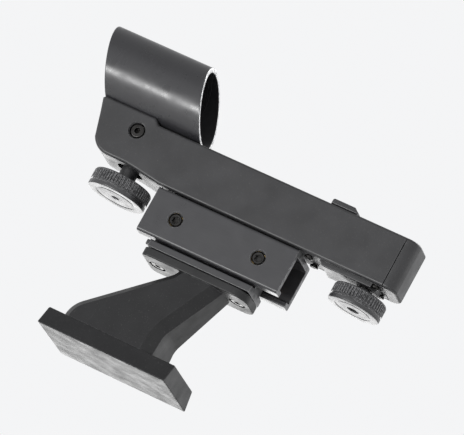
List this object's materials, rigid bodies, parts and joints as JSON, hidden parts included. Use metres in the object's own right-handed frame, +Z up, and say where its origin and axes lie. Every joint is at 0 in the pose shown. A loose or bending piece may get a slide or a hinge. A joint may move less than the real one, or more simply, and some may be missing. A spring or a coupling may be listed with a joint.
{
  "type": "finder scope",
  "caption": "Red-dot finder: slant-cut sight tube on a slim housing with altitude and azimuth thumbwheels, clamped to a stalk bracket with a dovetail foot.",
  "frame": {"origin": "centre of the bottom face of the dovetail foot", "axes": "+Y along the finder towards the sky, +X to the user's right, +Z up out of the shoe"},
  "size_m": [0.032, 0.1247, 0.1012],
  "materials": {
    "bracket_black": "semi-gloss black moulding, fine grain",
    "housing_black": "fine satin black moulding",
    "anodised_black": "black anodised, satin, bright at the cut edges",
    "tube_black": "black anodised, smooth satin, worn rim",
    "wheel_black": "black anodised, straight knurl, polished face",
    "blackened_steel": "blackened steel",
    "bright_steel": "plain steel",
    "nickel": "nickel plated",
    "brass": "plain brass",
    "coated_glass": "clear with a red-reflecting coating",
    "red_lamp": "clear red resin",
    "circuit_green": "green solder resist",
    "knob_black": "black moulding with a white mark"
  },
  "bodies": {
    "bracket": {"stalk_bracket": "bracket_black", "rail": "anodised_black", "rail_screw_front": "blackened_steel", "rail_screw_rear": "blackened_steel"},
    "clamp": {"clamp_channel": "anodised_black", "gib_strip": "brass", "base_tongue": "blackened_steel", "tongue_screw_front": "blackened_steel", "tongue_screw_rear": "blackened_steel", "swivel_stud": "bright_steel", "swivel_washer": "bright_steel"},
    "front_clamp_screw": {"clamp_screw_front": "blackened_steel"},
    "rear_clamp_screw": {"clamp_screw_rear": "blackened_steel"},
    "yoke": {"yoke_bar": "blackened_steel", "altitude_nut": "brass", "pivot_screw_left": "blackened_steel", "pivot_screw_right": "blackened_steel"},
    "azimuth_adjuster": {"azimuth_wheel": "wheel_black", "azimuth_shaft": "bright_steel", "azimuth_clip": "bright_steel"},
    "finder": {"body_shell": "housing_black", "rear_cap": "housing_black", "bottom_cover": "housing_black", "altitude_spring": "bright_steel", "cover_screw_front_left": "blackened_steel", "cover_screw_front_right": "blackened_steel", "cover_screw_rear_left": "blackened_steel", "cover_screw_rear_right": "blackened_steel", "sight_tube": "tube_black", "lens": "coated_glass", "lens_cell": "tube_black", "tube_screw_front": "blackened_steel", "tube_screw_rear": "blackened_steel", "led_hood": "housing_black", "led": "red_lamp", "pinhole_mask": "blackened_steel", "circuit_board": "circuit_green", "brightness_switch": "housing_black", "face_contact": "brass", "rim_contact": "brass"},
    "altitude_adjuster": {"altitude_wheel": "wheel_black", "altitude_screw": "bright_steel", "altitude_clip": "bright_steel"},
    "knob": {"brightness_knob": "knob_black", "switch_shaft": "bright_steel"},
    "battery_drawer": {"battery_door": "housing_black", "coin_cell": "nickel"}
  },
  "joints": [
    {"name": "clamp_slide", "type": "slide", "parent": "bracket", "child": "clamp", "axis": [0, 1, 0], "range_m": [-0.009, 0.02]},
    {"name": "front_clamp_screw_turn", "type": "hinge", "parent": "clamp", "child": "front_clamp_screw", "pos_m": [-0.0089, 0.0019, 0.0494], "axis": [-1, 0, 0], "range_deg": [0, 720]},
    {"name": "rear_clamp_screw_turn", "type": "hinge", "parent": "clamp", "child": "rear_clamp_screw", "pos_m": [-0.0089, -0.0281, 0.0494], "axis": [-1, 0, 0], "range_deg": [0, 720]},
    {"name": "azimuth_swivel", "type": "hinge", "parent": "clamp", "child": "yoke", "pos_m": [0, -0.006, 0.065], "axis": [0, 0, 1], "range_deg": [-1.5, 1.5]},
    {"name": "azimuth_wheel_turn", "type": "hinge", "parent": "clamp", "child": "azimuth_adjuster", "pos_m": [0, 0.0265, 0.0529], "axis": [0, 0, 1], "range_deg": [-39, 39]},
    {"name": "altitude_tilt", "type": "hinge", "parent": "yoke", "child": "finder", "pos_m": [0, 0.0284, 0.0709], "axis": [-1, 0, 0], "range_deg": [-0.51, 2.01], "deforming": ["altitude_spring"]},
    {"name": "altitude_wheel_turn", "type": "hinge", "parent": "finder", "child": "altitude_adjuster", "pos_m": [0, -0.0607, 0.0519], "axis": [0, 0, 1], "range_deg": [-560, 2240]},
    {"name": "brightness_turn", "type": "hinge", "parent": "finder", "child": "knob", "pos_m": [0.0099, -0.0265, 0.0704], "axis": [-1, 0, 0], "range_deg": [0, 270]},
    {"name": "battery_door_pull", "type": "slide", "parent": "finder", "child": "battery_drawer", "axis": [1, 0, 0], "range_m": [0, 0.01]}
  ],
  "couplings": [
    {"joint": "azimuth_swivel", "follows": "azimuth_wheel_turn", "ratio": -0.03834},
    {"joint": "altitude_tilt", "follows": "altitude_wheel_turn", "ratio": 0.00089313}
  ]
}
